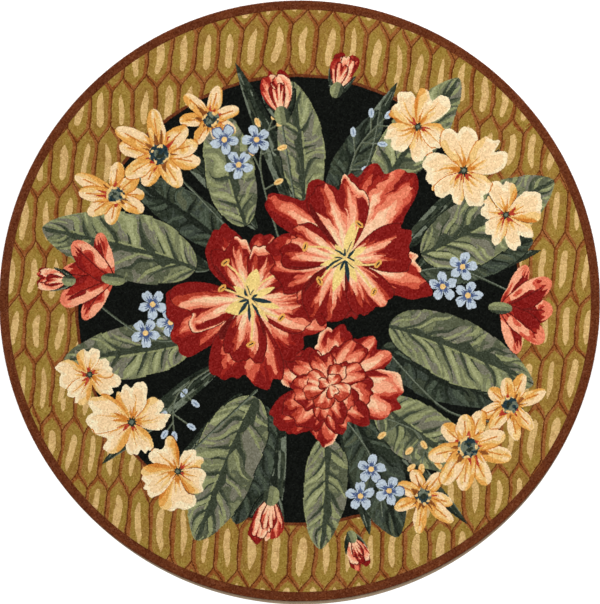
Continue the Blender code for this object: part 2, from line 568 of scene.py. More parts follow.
class Fan(Shape):
    """A broad petal: t runs 0 to 1 from base to edge, s -1 to 1 across, rim is the depth in mm.

    Its edge lies at length (1 - |s|^square)^0.5, less a notch in the middle, and is waved.
    """

    def __init__(self, x, y, angle, length, half_angle, grow=0.0, square=3.0, notch=0.0, wave=0.06,
                 curl=0.0, seed=0.0):
        sides, right, up = chart.turned(x, y, 0.0, FAN_SPARE * length + grow)
        out = np.hypot(right, up)
        turn = np.arctan2(up, right) - angle - curl * out / length
        s = ((turn + math.pi) % FULL_TURN - math.pi) / (half_angle + grow / length)
        edge = length * np.clip(1 - abs(s) ** square, 0, 1) ** 0.5
        edge = edge * (1 - notch * np.exp(-(s / NOTCH_WIDTH) ** 2))
        edge = edge * (1 + wave * (ripple(s, seed) + 0.4 * ripple(s, seed + 3, 7.0))) + grow
        inside = (abs(s) < 1) & (out < edge)
        self.keep(inside, sides, t=out / np.maximum(edge, 1), s=s, rim=edge - out, out=out)


# %% A strip
class Strip(Shape):
    """A leaf or a narrow petal: t runs 0 to 1 along it, s -1 to 1 across, v is s in millimetres.

    Its middle line leaves a straight one by bend * length * t^2 (1.6 - 0.6 t). Its half width is
    t^tail (1 - t)^head, scaled to width at its widest, waved and sawn.
    """

    def __init__(self, x, y, angle, length, width, grow=0.0, tail=0.75, head=0.75, bend=0.0,
                 wave=0.05, seed=0.0, saw=0.0, saws=9):
        middle_x, middle_y = x + 0.5 * length * math.cos(angle), y + 0.5 * length * math.sin(angle)
        reach = length * (0.5 + abs(bend)) + width + grow
        sides, along, across = chart.turned(middle_x, middle_y, angle, reach)
        t = (along + 0.5 * length + grow) / (length + 2 * grow)
        on = np.clip(t, 0, 1)
        v = across - bend * length * on ** 2 * (1.6 - 0.6 * on)
        widest = (tail / (tail + head)) ** tail * (head / (tail + head)) ** head
        half = width * on ** tail * (1 - on) ** head / widest
        half = half * (1 + wave * clouds(t * 4.5 + seed * 3.1, np.sign(v) * 5 + seed, 1.0)) + grow
        half = half * (1 - saw * ((t * saws + 0.3 * clouds(t * saws, seed, 1.0)) % 1))
        half = np.maximum(half, 1e-6)
        inside = (t > 0) & (t < 1) & (abs(v) < half)
        self.keep(inside, sides, t=t, v=v, s=v / half, half=half, rim=half - abs(v))


# %% A line round a shape
LINE = 3.0  # millimetres of darker wool round a motif


def edged(kind, yarn, *place, over=RED_BLOSSOM, **form):
    """A shape, after a darker line round it where it lies over flowers, or leaves too."""
    wider = kind(*place, grow=LINE, **form)
    wider.lay(chart.part[wider.sides] >= over, yarn)
    return kind(*place, **form)


# %% [markdown]
# A red petal is deep crimson at its edge. Lighter wools leap from its base in flames, one inside
# the other: red, coral, salmon, peach and blush. Near the base the flames run together. One side
# lies in the shade of the next petal, and the rim of the other may turn up to the light. A smooth
# blend from red to cream would be simpler, but yarn can't blend: every change is a hard edge.

# %% A red petal
FLAMES = [  # how far each wool reaches, how wide it starts, and where it runs together
    (1.34, 1.30, 0.64),
    (1.22, 1.20, 0.54),
    (1.08, 1.06, 0.40),
    (0.82, 0.86, 0.20),
    (0.58, 0.70, 0.12),
]
FLAME_ROUND = 0.55
THINNEST_LIP = 5.0
DEEP = ("crimson", "red", "coral", "salmon", "peach", "blush")
BRIGHT = ("crimson", "brick", "salmon", "peach", "blush", "cream")
WARM = ("crimson", "brick", "coral", "salmon", "peach")
HEART = ("brick", "coral", "salmon", "peach", "blush")


def flame_depth(s, t, count, seed, body):
    """How many flames cover a place. One is width (1 - t / reach)^round wide, and jagged."""
    number, share = spans(s, count, seed)
    height = (0.55 + 0.45 * luck(number, seed)) * body
    depth = np.zeros(len(s), int)
    for level, (reach, width, together) in enumerate(FLAMES):
        jag = 0.26 * teeth(s, count * 3, seed + 5 + 0.4 * level) - 0.08
        middle = 0.5 + 0.26 * (luck(number * 1.3, seed + 7 + level) - 0.5)
        left = np.clip(1 - t / np.maximum(height * reach + jag, 0.02), 0, 1)
        inside = abs(share - middle) * 2 < width * left ** FLAME_ROUND
        depth[inside | (t < (together + 1.3 * jag) * body)] = level + 1
    return depth


def petal(x, y, angle, length, half_angle, seed, wools, hidden=0.0, glow=1.0, lean=0.0, count=1.9,
          lip="peach", lip_width=15.0, lipped=False, **form):
    """A broad petal with flames. hidden is the share that others cover, glow the flames' reach."""
    p = edged(Fan, "maroon", x, y, angle, length, half_angle, seed=seed, **form)
    p.lay(slice(None), wools[0], RED_BLOSSOM)
    s = p.s + 0.14 * np.sin(p.t * 3.2 + seed * 2) + lean * p.t + 0.03 * clouds(p.x, p.y, 16)
    body = np.clip(1 - (abs(p.s) / 0.97) ** 2.2, 0, 1) ** 0.6 * glow
    depth = flame_depth(s, (p.t - hidden) / (1 - hidden), count, seed, body)
    for level, wool in enumerate(wools[1:], 1):
        p.lay(depth >= level, wool)
    shaded = p.s * (1 if luck(seed, 8) > 0.5 else -1)
    p.lay((shaded > 0.80 + 0.12 * ripple(p.t, seed + 4, 3.0)) & (p.t < 0.95), "maroon")
    if lipped:
        turned = lip_width * np.clip(np.sin((0.10 - shaded) * 2.8), 0, 1)
        turned = turned * (1 + 0.5 * ripple(p.s, seed + 9, 4.0)) - 2
        turned = np.where(turned > THINNEST_LIP, turned, 0)
        for share, wool in ((1.5, "salmon"), (1.0, lip), (0.5, "blush")):
            p.lay(p.rim < share * turned, wool)


# %% [markdown]
# A leaf has a light half and a dark half. Its ribs lean forwards, and in each space between two
# ribs there are two flames of lighter green, one beside the rib and one that enters from the edge.
# Each rib could be a line of its own. Here the whole leaf is cut into spaces by one formula, so
# that the ribs, their shadows and the flames between them always fit together.

# %% A leaf
GREENS = ("spruce", "fern", "moss", "sage", "sagelight", "sagegrey")
DARK_GREENS = ("pinedark", "pine", "spruce", "fernblue", "fern", "slate")
RIB_LEAN = 0.80


def leaf(x, y, degrees, length, width, bend, ribs, dark_side, seed, greens=GREENS):
    """A veined leaf. The space between ribs is f, 0 to 1, which leans forwards with |s|^0.85."""
    deep, dark, body, light, pale, grey = greens
    p = edged(Strip, "pinedark", x, y, math.radians(degrees), length, width, over=LEAF, bend=bend,
              seed=seed, tail=0.52, head=0.66, saw=0.05, saws=ribs)
    shady = p.s * dark_side > 0
    out = abs(p.s)
    space = (p.t - RIB_LEAN * width / length * out ** 0.85) * ribs + 0.26 * clouds(p.x, p.y, 55)
    space = space + seed + 0.37 * shady
    number = np.floor(space)
    f = space - number
    way = np.where(shady, 1, -1)
    steps = ((2.3, 0), (1.9, 4), (1.3, 8))
    one, two, three = (luck(number * by + way, seed + salt) for by, salt in steps)
    drift = clouds(p.x, p.y + 50 * seed, 34)
    fleck = clouds(p.x, p.y + 70 * seed, 10)
    p.lay(slice(None), body, LEAF)
    p.lay(shady & (drift + 0.4 * fleck + 0.5 * one > -0.45), dark)
    p.lay((drift + 0.4 * fleck + 0.7 * np.sin(number * 2.4 + seed) > 0.30) & (out > 0.15), grey)
    beside_rib = 0.19 * np.sin(math.pi * out ** 0.75) ** 0.7 * (0.45 + 0.8 * one)
    beside_rib = beside_rib * np.where(shady, 0.75, 1.1)
    from_edge = 0.17 * np.clip((out - 0.30 - 0.3 * two) / 0.5, 0, 1) ** 0.6 * (0.5 + 0.7 * two)
    for off, wide, here, bright in (
        (f - 0.30 - 0.05 * drift, beside_rib, True, one > 0.35),
        (f - 0.68 + 0.06 * drift, from_edge, ~shady | (two > 0.5), three > 0.5),
    ):
        off = abs(off) - 0.02 * fleck
        p.lay((off < wide) & here, light)
        p.lay((off < 0.5 * wide - 0.02) & bright & ~shady, pale)
    # the rib, its own shadow, and a short stroke between two ribs
    rib = 0.10 * np.clip(1 - out / (0.62 + 0.36 * one), 0, 1) ** 0.7 + 0.010
    off_rib = np.minimum(f, 1 - f)
    p.lay((off_rib < 1.9 * rib) & (out < 0.55 + 0.4 * two) & (f > 0.5), dark)
    p.lay((off_rib < rib) & (out < 0.66 + 0.33 * one), deep)
    short = 0.06 * np.clip(1 - out / (0.35 + 0.3 * three), 0, 1) ** 0.6
    p.lay((abs(f - 0.50) < short) & (two > 0.3), deep)
    # the midrib, with a light line beside it, and a light hem on the lit half
    p.lay(shady & (out < 0.12 + 0.12 * drift + 0.16 * one), deep)
    p.lay(abs(p.v) < np.maximum(4.6 * (1 - p.t), 1.8), deep)
    gleam = (abs(p.v + 6.2 * dark_side) < 2.2) & (abs(p.t - 0.46) < 0.36) & (drift > -0.3)
    p.lay(gleam & (off_rib > 0.07), light)
    p.lay((p.rim < 3.0) & (drift > -0.1) & ~shady, light)


# %% [markdown]
# Long dark blades fill the back. They could be narrow leaves, but ribs would crowd so thin a
# shape. So they have only streaks, which are clouds drawn out along the blade.

# %% A blade
def blade(x, y, degrees, length, width, bend):
    """A long dark blade: streaks along it, that lighten towards one side."""
    seed = abs(x * 0.013 + y * 0.007) + 1
    p = edged(Strip, "black", x, y, math.radians(degrees), length, width, over=LEAF, bend=bend,
              seed=seed, tail=0.5, head=0.8, wave=0.04)
    streak = clouds(p.t * length / 34 + seed * 3, p.s * 2.6 + seed, 1.0)
    finer = clouds(p.t * length / 42 + seed * 5 + 7, p.s * 3.4 + seed, 1.0)
    p.lay(slice(None), "pine", LEAF)
    p.lay(streak + 0.5 * p.s > 0.05, "spruce")
    p.lay((finer + 0.6 * p.s > 0.42) & (p.t < 0.93), "smoke")
    p.lay(streak - 0.6 * p.s > 0.55, "pinedark")
    p.lay((abs(p.v - 0.25 * p.half) < 1.8) & (p.t < 0.85), "pinedark")


# %% [markdown]
# Stems and small things. A stem is a few rows of loops that follow a smooth line. It could be
# hooked as a row of separate strokes, but one line through a few points bends as a stem does. Cups,
# beads and stars are plain ovals and rings of points.

# %% Stems
def curve(points, steps=12):
    """A smooth line through a few points.

    Each span is the cubic that leaves a point along the line between its neighbours.
    """
    points = np.array(points, float)
    count = len(points) - 1
    place = np.linspace(0, count, steps * count + 1)
    start = np.clip(np.floor(place).astype(int), 0, count - 1)
    f = (place - start)[:, None]
    a, b, c, d = (points[np.clip(start + step, 0, count)] for step in (-1, 0, 1, 2))
    square, cube = 2 * a - 5 * b + 4 * c - d, 3 * b - a - 3 * c + d
    return 0.5 * (2 * b + (c - a) * f + square * f ** 2 + cube * f ** 3)


def stem(points, thick=3.8, thin=2.6, yarn="spruce", light="smoke", part=LEAF):
    """A stem: what is nearer than its half width to a smooth line, with one side lighter."""
    line = curve(points)
    low, high = line.min(0) - thick, line.max(0) + thick
    inside = (chart.x > low[0]) & (chart.x < high[0]) & (chart.y > low[1]) & (chart.y < high[1])
    sides = np.flatnonzero(inside)
    start, step = line[:-1], np.diff(line, axis=0)
    off = np.stack([chart.x[sides], chart.y[sides]], 1)[:, None] - start
    share = np.clip((off * step).sum(2) / (step ** 2).sum(1), 0, 1)
    away = off - share[:, :, None] * step
    distance = np.hypot(away[:, :, 0], away[:, :, 1])
    row, nearest = np.arange(len(sides)), distance.argmin(1)
    left = step[nearest, 0] * away[row, nearest, 1] - step[nearest, 1] * away[row, nearest, 0]
    along = (nearest + share[row, nearest]) / len(step)
    on = distance[row, nearest] < thick + (thin - thick) * along
    chart.lay(sides[on], yarn, part)
    chart.lay(sides[on & (left > 0)], light)


# %% Beads, cups, stars and sprays
def bead(x, y, angle, size, yarn, core):
    """An oval of wool about half as wide as it is long, with a short stroke in it."""
    sides, along, across = chart.turned(x, y, angle, 1.1 * size)
    chart.lay(sides[(along / size) ** 2 + (across / (0.55 * size)) ** 2 < 1], yarn, PALE_BLOSSOM)
    chart.lay(sides[(abs(across) < 1.6) & (abs(along) < 0.5 * size)], core)


def cup(x, y, angle, length, width):
    """The green cup under a flower: an oval, lit on one side."""
    sides, along, across = chart.turned(x, y, angle, length)
    inside = (along / length) ** 2 + (across / width) ** 2 < 1
    chart.lay(sides[inside], "moss", LEAF)
    chart.lay(sides[inside & (across > 0.25 * width)], "sage")
    chart.lay(sides[inside & (across < -0.40 * width)], "spruce")


def star(x, y, middle, spike, count, yarn, seed=0.0):
    """A small star: what is nearer than its middle's radius plus a spike's height."""
    sides, right, up = chart.turned(x, y, 0.0, middle + spike)
    spikes = teeth(np.arctan2(up, right) / math.pi, count, seed)
    chart.lay(sides[np.hypot(right, up) < middle + spike * spikes], yarn, PALE_BLOSSOM)


def spray(points, seed, yarn="bluelight", core="blue", shoots=5):
    """A thin stem with side shoots left and right, and a bud on each."""
    line = curve(points)
    stem(points, 2.6, 2.0, "fern")
    ahead = line[-1] - line[-4]
    ahead = math.atan2(ahead[1], ahead[0])
    for number in range(shoots):
        share = luck(number, seed)
        start = line[int((0.35 + 0.6 * number / shoots) * (len(line) - 1))]
        angle = ahead + (0.6 + 0.3 * share) * (1 if number % 2 else -1)
        end = start + (38 + 26 * share) * np.array([math.cos(angle), math.sin(angle)])
        stem([start, end], 2.4, 2.2, "fern")
        bead(*end, angle, 14, yarn, core)
    bead(*line[-1], ahead, 16, yarn, core)


# %% [markdown]
# The flowers. Each sets its petals round a throat, which may lie off the middle: then the near
# petals look short and the far ones long, as on a flower that is turned away. Turning a flower in
# space and flattening it would do the same with more work. The petals of a ring are laid in an
# order of luck, so that no flower looks stacked.

# %% Rings of red petals
OPEN = [  # a ring's petals, share of the radius, half angle, wools, turn, share hidden, flames
    (6, 1.00, 0.62, DEEP, 0.0, 0.30, 0.96),
    (5, 0.84, 0.62, BRIGHT, 0.5, 0.00, 1.02),
]
FULL = [
    (6, 1.00, 0.62, DEEP, 0.0, 0.50, 0.95),
    (5, 0.80, 0.70, WARM, 0.5, 0.40, 0.95),
    (5, 0.58, 0.74, WARM, 0.1, 0.35, 1.05),
    (4, 0.38, 0.85, HEART, 0.4, 0.15, 1.1),
    (3, 0.20, 0.95, HEART, 0.2, 0.0, 1.1),
]


def off_centre(lean, angle, amount=0.9):
    """How much longer a petal is when the throat leans away from it."""
    return 1 - amount * (lean[0] * math.cos(angle) + lean[1] * math.sin(angle))


def petals_round(count, radius, seed, turn, lean=(0, 0), shift=0.0):
    """Each petal's number, luck, direction and length, in an order of luck."""
    for number in np.argsort(luck(np.arange(count) + 1.0, seed + count)):
        h = luck(number * 3.1 + count, seed)
        angle = turn + FULL_TURN * (number + shift) / count + 0.28 * (h - 0.5)
        yield number, h, angle, radius * (0.86 + 0.24 * h) * off_centre(lean, angle)


def red_flower(x, y, radius, seed, turn, lean, rings, lips):
    """Rings of red petals, each shorter and lighter than the one behind it.

    lips is the share of petals whose rims turn up.
    """
    for count, share, half_angle, wools, shift, hidden, glow in rings:
        ring = petals_round(count, radius * share, seed, turn, lean, shift)
        for number, h, angle, length in ring:
            spread = half_angle * (0.88 + 0.24 * h)
            petal(x, y, angle, length, spread, seed + number * 1.7 + count, wools,
                  hidden=hidden, glow=glow * (0.84 + 0.34 * luck(number, seed + 21)),
                  lean=0.3 * (h - 0.5), count=1.2 + 0.7 * h,
                  lipped=luck(number, seed + count) < lips,
                  curl=0.34 * (h - 0.5), notch=0.14 * h, wave=0.11, square=2.5 + h)


# %% An open red flower
STAMENS = 5


def open_flower(x, y, radius, seed, turn, lean):
    """Two rings of petals round a pale throat, with long stamens."""
    x, y = x + lean[0] * radius, y + lean[1] * radius
    red_flower(x, y, radius, seed, turn, lean, OPEN, 0.3)
    star(x, y, 0.09 * radius, 0.42 * radius, 4, "butter", seed + 4)
    star(x, y, 0.05 * radius, 0.26 * radius, 5, "tealdark", seed)
    for number in range(STAMENS):
        h = luck(number, seed + 31)
        angle = turn + FULL_TURN * (number + 0.7 * h) / STAMENS
        reach = radius * (0.34 + 0.26 * h) * off_centre(lean, angle, 0.6)
        end = (x + reach * math.cos(angle), y + reach * math.sin(angle))
        angle = angle + 0.5 * (luck(number, seed + 41) - 0.5)
        half = (x + 0.5 * reach * math.cos(angle), y + 0.5 * reach * math.sin(angle))
        stem([(x, y), half, end], 3.2, 2.4, "butter", "straw", PALE_BLOSSOM)
        bead(*end, angle + 1.0 + h, 14, "gold", "ink")


# %% [markdown]
# A rosebud and a tulip are seen from the side, so their petals fan out from a cup instead of
# standing in rings. A ring with half its petals left out would do, but then each petal would show
# its whole face. So the few petals of each are set one by one, the back ones first.

# %% A rosebud
BUD_PETALS = [  # turn, length, half angle, wools, then the petal's own form
    (0.00, 2.05, 0.58, ("crimson", "red", "coral", "salmon"),
     dict(hidden=0.45, notch=0.14, wave=0.09, count=2.6)),
    (0.40, 1.80, 0.46, ("red", "coral", "salmon", "peach"),
     dict(hidden=0.20, glow=1.10, wave=0.07, curl=-0.25, count=2.2, lipped=True, lip_width=24)),
    (-0.40, 1.72, 0.44, ("crimson", "coral", "peach", "blush"),
     dict(hidden=0.20, glow=1.15, wave=0.07, curl=0.30, count=2.2, lipped=True, lip_width=24)),
    (0.05, 1.34, 0.42, ("crimson", "coral", "peach", "blush"),
     dict(glow=1.10, notch=0.10, wave=0.07, count=2.0, lip="blush", lip_width=27)),
]
SEPALS = [(0.75, 1.45), (-0.80, 1.35), (0.30, 1.05), (-0.32, 1.00)]  # turn and length
SEPAL_FOOT = 10  # millimetres that the sepals start below the petals
SEPAL_WIDTH, SEPAL_BEND = 0.20, -0.25


def rosebud(x, y, radius, degrees, seed):
    """A half-open bud: petals wrapped round a furled heart, over a cup with four sepals."""
    angle = math.radians(degrees)
    ahead = np.array([math.cos(angle), math.sin(angle)])
    base = np.array([x, y]) - radius * ahead
    for turn, length in SEPALS:
        foot = base - SEPAL_FOOT * ahead
        blade(*foot, degrees + math.degrees(turn), radius * length, radius * SEPAL_WIDTH,
              SEPAL_BEND * np.sign(turn))
    for number, (turn, length, half_angle, wools, form) in enumerate(BUD_PETALS):
        petal(*base, angle + turn, radius * length, half_angle, seed + number, wools, **form)
    cup(*base, angle, 0.42 * radius, 0.34 * radius)


# %% A tulip
TULIP_PETALS = [  # turn, length, width and bend, from the back to the front
    (0.78, 1.60, 0.32, 0.28),
    (-0.84, 1.55, 0.32, -0.28),
    (0.02, 1.75, 0.44, 0.00),
    (0.40, 1.90, 0.40, 0.14),
    (-0.42, 1.80, 0.40, -0.16),
]


def tulip(x, y, radius, degrees, seed):
    """A flaring flower from the side: long petals that curl out at their tips."""
    angle = math.radians(degrees)
    for number, (turn, length, width, bend) in enumerate(TULIP_PETALS):
        size = (radius * length, radius * width)
        p = edged(Strip, "maroon", x, y, angle + turn, *size, bend=bend, seed=seed + number,
                  tail=0.7, head=0.5, wave=0.10)
        light = 0.9 * p.s * (-1 if bend < 0 else 1)
        streak = 0.6 * clouds(p.t * size[0] / 34 + seed + number, p.s * 1.8 + number * 3, 1.0)
        p.lay(slice(None), "red", RED_BLOSSOM)
        p.lay(streak + light > 0.10, "coral")
        p.lay((streak + light > 0.45) & (p.t > 0.22), "peach")
        p.lay(streak - light > 0.32, "crimson")
        p.lay((abs(p.v) < 1.8) & (p.t < 0.8), "maroon")
        p.lay(p.t > 0.78 + 0.2 * teeth(p.s, 2, seed + number), "salmon")
    cup(x, y, angle, 0.40 * radius, 0.20 * radius)


# %% [markdown]
# A wild rose has heart-shaped cream petals. Each is golden along one side, has creases out of its
# eye, and shows a little red between itself and the next. One pale wool with a drawn outline would
# be simpler, but from a step away it is the golden wools that make a petal look bent.

# %% A wild rose
CREASES = [  # place across the petal, half width in millimetres, reach, yarn
    (-0.12, 5.4, 0.80, "gold"),
    (0.30, 3.6, 0.58, "amber"),
    (-0.50, 3.2, 0.50, "gold"),
]
ROSE_HALF_ANGLE = 0.76


def rose(x, y, radius, seed, turn, lean, petals=5):
    """A wild rose of five petals. g and h are the lucks of a petal."""
    x, y = x + lean[0] * radius, y + lean[1] * radius
    for number, h, angle, length in petals_round(petals, radius, seed, turn, lean):
        g = luck(number * 2.9, seed + 6)
        p = edged(Fan, "amber" if g > 0.3 else "umber", x, y, angle, length, ROSE_HALF_ANGLE,
                  square=2.8 + h, notch=0.06 + 0.14 * g, wave=0.10, seed=seed + number,
                  curl=0.3 * (h - 0.5))
        way = 1 if g > 0.5 else -1
        s = (p.s + 0.16 * np.sin(p.t * 3 + seed) + 0.03 * clouds(p.x, p.y, 14)) * way
        broad, fine = teeth(s * way, 1.6, seed + number), teeth(s * way, 2.2, seed + number + 3)
        # paler wool at the edge, and deeper wools from the base and towards one side
        p.lay(slice(None), "cream", PALE_BLOSSOM)
        p.lay((p.rim < 9 + 26 * broad) & (s < 0.35), "ivory")
        p.lay(p.t < 0.16 + 0.62 * fine, "straw")
        p.lay((s > 0.42 + 0.22 * broad + 0.10 * ripple(p.t, seed, 4.0)) & (p.t > 0.12), "straw")
        p.lay((s > 0.60 + 0.18 * fine + 0.10 * ripple(p.t, seed + 2, 4.0)) & (p.t > 0.2), "gold")
        p.lay((s > 0.80 + 0.08 * broad) & (p.t > 0.3) & (h > 0.4), "amber")
        # creases that narrow from the eye, by millimetres across: s times the half angle times out
        for at, wide, reach, yarn in CREASES:
            reach = reach * (0.7 + 0.5 * luck(at * 9 + number, seed + 2))
            across = abs(s - at) * p.out * ROSE_HALF_ANGLE
            p.lay((across < wide * (1 - p.t / reach)) & (p.t < reach), yarn)
        # a little red on the other side, and red or amber in the throat
        p.lay((-p.s * way > 0.80 + 0.25 * p.t - 0.10 * fine) & (g > 0.25), "brick")
        p.lay((p.t < 0.20 + 0.24 * broad) & (abs(s) < 0.5), "amber" if h > 0.5 else "brick")
    star(x, y, 0.08 * radius, 0.10 * radius, 5, "pine", seed)
    star(x, y, 0.05 * radius, 0.0, 1, "smoke")


# %% [markdown]
# A daisy's petals are narrow and pointed, so they are strips, where a small blue flower's are round
# and are fans. A daisy's eye could be one dark disc, but a hooked one is never so plain: clouds
# leave patches of other wools in it.

# %% A daisy
# yarn, largest and least distance out, size and place of the patches, and their least height
DAISY_EYE = [
    ("tealdark", 1.0, 0.0, 9, 0, -9.0),
    ("smoke", 1.0, 0.0, 9, 20, 0.2),
    ("straw", 1.0, 0.66, 8, 40, 0.1),
    ("pine", 0.4, 0.0, 8, 80, -0.1),
]


def daisy(x, y, radius, seed, petals, turn, lean):
    """Pointed golden petals with rust or red throats, round a dark eye."""
    x, y = x + lean[0] * radius, y + lean[1] * radius
    for number, h, angle, length in petals_round(petals, radius, seed, turn, lean):
        p = edged(Strip, "amber", x, y, angle, length, 0.21 * radius, bend=0.22 * (h - 0.5),
                  seed=seed + number, tail=0.62, head=0.46, wave=0.10)
        streak = 0.6 * clouds(p.t * length / 24 + seed + number, p.s * 1.6 + number, 1.0)
        light = 0.9 * p.s * (1 if luck(number, seed + 3) > 0.4 else -1)
        p.lay(slice(None), "straw", PALE_BLOSSOM)
        p.lay(streak + light > 0.15, "cream")
        p.lay(streak + light < -0.40, "gold")
        p.lay((abs(p.v) < 2.0) & (p.t < 0.8), "amber")
        p.lay(p.t < 0.30 + 0.34 * teeth(p.s, 1.8, seed + number), "gold")
        throat = (p.t < 0.24 + 0.34 * teeth(p.s, 1.3, seed + number + 5)) & (abs(p.s) < 0.6)
        p.lay(throat, "rust" if h > 0.4 else "brick")
    sides, right, up = chart.turned(x, y, 0.0, 0.3 * radius)
    out = np.hypot(right, up) / (0.25 * radius)
    ragged = 0.12 * clouds(chart.x[sides], chart.y[sides], 9)
    for yarn, most, least, size, place, height in DAISY_EYE:
        patch = clouds(chart.x[sides] + place, chart.y[sides], size) > height
        chart.lay(sides[(out < most + ragged) & (out > least) & patch], yarn, PALE_BLOSSOM)


# %% A blue flower
def blue_flower(x, y, radius=40, petals=5):
    """Five round petals, pale at their edges, round a gold eye."""
    seed = abs(x) * 0.1
    for number in range(petals):
        p = edged(Fan, "bluedark", x, y, x + FULL_TURN * number / petals, radius, 0.62, square=2.6,
                  seed=seed + number)
        p.lay(slice(None), "blue", PALE_BLOSSOM)
        p.lay(p.t > 0.52 - 0.3 * teeth(p.s, 2.4, seed + number), "bluelight")
        p.lay(p.t < 0.34 + 0.5 * teeth(p.s, 2.4, seed + number + 2), "bluedark")
    star(x, y, 0.17 * radius + 1, 0.0, 1, "straw")


# %% [markdown]
# The bouquet is laid out from the back to the front: blades and dark leaves, light leaves, stems,
# the outer flowers, and the three large ones last, because what is laid later covers what is
# there. Chance could scatter the motifs, but a bouquet is composed, so each has its own row in a
# table. Places are millimetres right of and above the middle of the rug, and directions are
# degrees from the right.

# %% Where each leaf and stem lies
BLADES = [  # x, y, direction, length, half width, bend
    (-20, 250, 103, 440, 30, 0.14), (90, 250, 70, 400, 30, -0.12),
    (-120, 200, 128, 420, 28, 0.12), (290, 150, 40, 380, 30, 0.10),
    (-250, 90, 162, 380, 32, -0.10), (-220, -180, 214, 430, 28, 0.10),
    (-60, -300, 262, 330, 32, 0.12), (120, -330, 290, 330, 30, -0.12),
    (280, -140, 328, 380, 32, 0.12), (320, 60, 6, 360, 30, 0.12),
    (-280, -60, 186, 360, 28, 0.10), (180, -300, 306, 430, 28, 0.10),
    (-160, -260, 236, 380, 30, -0.12),
]
DARK_LEAVES = [  # x, y, direction, length, half width, bend, ribs, darker side, seed
    (-200, 150, 136, 330, 60, 0.14, 5, 1, 31), (-100, -290, 250, 340, 74, 0.12, 5, 1, 33),
    (150, -320, 296, 360, 76, -0.10, 5, 1, 34), (230, -130, 330, 380, 70, 0.10, 5, -1, 35),
    (330, 90, 8, 330, 70, 0.10, 5, 1, 36), (90, 260, 70, 300, 50, -0.12, 5, 1, 37),
]
LIGHT_LEAVES = [  # the same
    (-290, 90, 158, 440, 98, 0.12, 6, 1, 1), (-150, 210, 112, 340, 72, -0.14, 5, -1, 2),
    (10, 280, 86, 330, 66, 0.16, 5, 1, 3), (220, 300, 62, 390, 74, -0.12, 6, -1, 4),
    (340, 130, 22, 420, 96, 0.12, 6, 1, 5), (250, -70, 346, 430, 92, -0.14, 6, 1, 6),
    (220, -280, 318, 330, 84, 0.12, 5, -1, 7), (70, -380, 277, 310, 64, -0.16, 5, 1, 8),
    (-120, -270, 240, 430, 94, 0.12, 6, 1, 9), (-300, -110, 196, 360, 74, -0.12, 5, -1, 10),
]
STEMS = [  # points along each
    [(0, 200), (-30, 380), (-60, 560)], [(100, 250), (190, 380), (230, 560)],
    [(-150, 150), (-290, 300), (-420, 420)], [(250, 60), (420, 90), (600, 20)],
    [(-200, -60), (-400, -110), (-600, 20)], [(-120, -250), (-300, -420), (-380, -520)],
    [(100, -300), (200, -440), (230, -600)], [(250, -150), (400, -300), (540, -340)],
]
print(f"{len(BLADES)} blades, {len(DARK_LEAVES + LIGHT_LEAVES)} leaves and {len(STEMS)} stems")
SPRAYS = [  # points, seed, wools
    ([(-60, 180), (-110, 380), (-70, 520)], 3, "straw", "gold"),
    ([(-200, -160), (-340, -260), (-350, -380)], 5, "bluelight", "blue"),
    ([(120, 260), (160, 420), (250, 520)], 7, "bluelight", "blue"),
    ([(150, -300), (330, -370), (340, -470)], 9, "straw", "gold"),
]

# %% Where each flower lies
TULIPS = [(-520, 60, 84, 172, 4), (560, -20, 84, -4, 9)]  # x, y, radius, direction, seed
ROSES = [  # x, y, radius, seed, turn, lean of the throat
    (330, 500, 96, 5, 1.0, (0, -0.15)), (590, 240, 92, 15, 1.6, (-0.15, 0)),
    (470, 375, 112, 2, 0.4, (-0.1, -0.1)), (-350, -490, 96, 9, 0.8, (0.1, 0.15)),
    (-600, -210, 90, 12, 1.9, (0.15, 0.05)), (-480, -350, 112, 7, 0.2, (0.1, 0.1)),
]
DAISIES = [  # x, y, radius, seed, petals, turn, lean
    (-250, 520, 88, 13, 7, 0.5, (0.02, -0.15)), (-530, 300, 100, 5, 8, 0.1, (0.15, -0.05)),
    (-400, 420, 118, 3, 9, 0.3, (0.08, -0.1)), (350, -560, 90, 14, 7, 0.9, (-0.05, 0.15)),
    (600, -300, 92, 11, 8, 0.2, (-0.15, 0.1)), (480, -420, 118, 8, 9, 0.5, (-0.1, 0.1)),
]
ROSEBUDS = [  # x, y, radius, direction, seed
    (-60, 580, 64, 100, 2), (120, 640, 54, 72, 12), (-90, -610, 66, -100, 6),
    (-690, 60, 46, 176, 16), (160, -700, 44, -70, 26),
]
BLUE_FLOWERS = [  # x, y
    (-170, 380), (-120, 450), (-210, 450), (200, -470), (250, -530), (170, -545),
    (400, 40), (455, 95), (470, 15), (-360, -60), (-410, -10), (-430, -90),
]
LARGE_FLOWERS = [  # x, y, radius, seed, turn, lean, then for a full flower its rings and lips
    (red_flower, (85, -235, 178, 3, 0.6, (0, 0), FULL, 0.65)),
    (open_flower, (-165, -5, 218, 1, 0.2, (0.12, 0.05))),
    (open_flower, (150, 145, 222, 2, 0.9, (-0.10, -0.12))),
]
print(f"{len(TULIPS + ROSES + DAISIES + ROSEBUDS + LARGE_FLOWERS)} flowers and buds")
print(f"{len(BLUE_FLOWERS)} blue flowers and {len(SPRAYS)} sprays")

